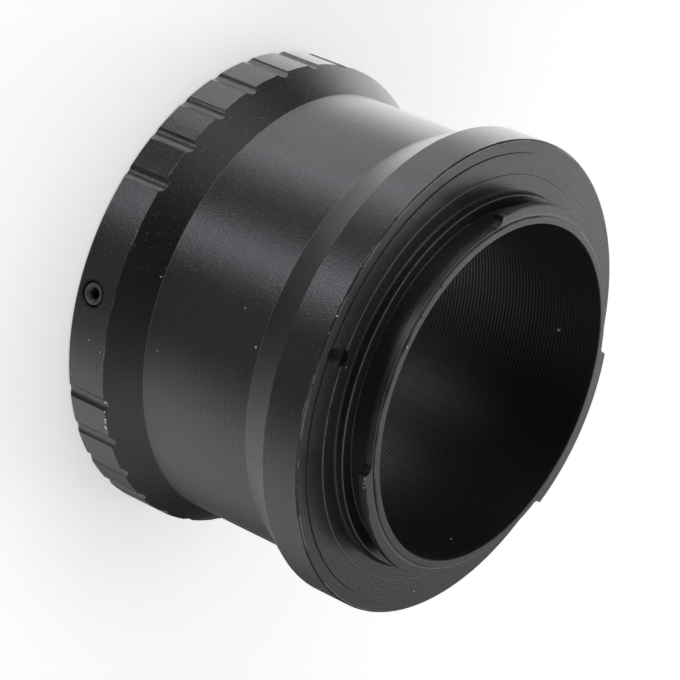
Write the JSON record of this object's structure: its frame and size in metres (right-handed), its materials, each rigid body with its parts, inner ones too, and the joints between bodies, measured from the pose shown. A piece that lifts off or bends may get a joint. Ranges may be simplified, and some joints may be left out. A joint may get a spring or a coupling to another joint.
{
  "type": "lens mount adapter",
  "caption": "Spool-shaped adapter tube that joins a lens with a screw thread to the bayonet of a mirrorless camera, with a grip ring, slim waist, flange with lock slot and a threaded ring.",
  "frame": {"origin": "on the optical axis, at the end face of the lens thread, on which the part stands", "axes": "+Z along the optical axis towards the camera, -Y through the lock slot of the bayonet"},
  "size_m": [0.0612, 0.0612, 0.0419],
  "materials": {
    "anodised_body": "bead-blasted and black anodised, satin, with a fine sparkle and bright chips on the sharp edges",
    "anodised_ring": "turned and black anodised, semi-matt",
    "screw_steel": "black oxide worn to bright steel round the rim of the socket"
  },
  "bodies": {
    "barrel": {"barrel": "anodised_body"},
    "thread_ring": {"thread_ring": "anodised_ring"},
    "set_screw_1": {"set_screw_1": "screw_steel"},
    "set_screw_2": {"set_screw_2": "screw_steel"},
    "set_screw_3": {"set_screw_3": "screw_steel"}
  },
  "joints": [
    {"name": "ring_turn", "type": "hinge", "parent": "barrel", "child": "thread_ring", "pos_m": [0, 0, 0], "axis": [0, 0, 1], "continuous": true},
    {"name": "screw_1_back_off", "type": "slide", "parent": "barrel", "child": "set_screw_1", "axis": [0.153, -0.9882, 0], "range_m": [0, 0.0006]},
    {"name": "screw_2_back_off", "type": "slide", "parent": "barrel", "child": "set_screw_2", "axis": [0.7793, 0.6266, 0], "range_m": [0, 0.0006]},
    {"name": "screw_3_back_off", "type": "slide", "parent": "barrel", "child": "set_screw_3", "axis": [-0.9323, 0.3616, 0], "range_m": [0, 0.0006]}
  ]
}
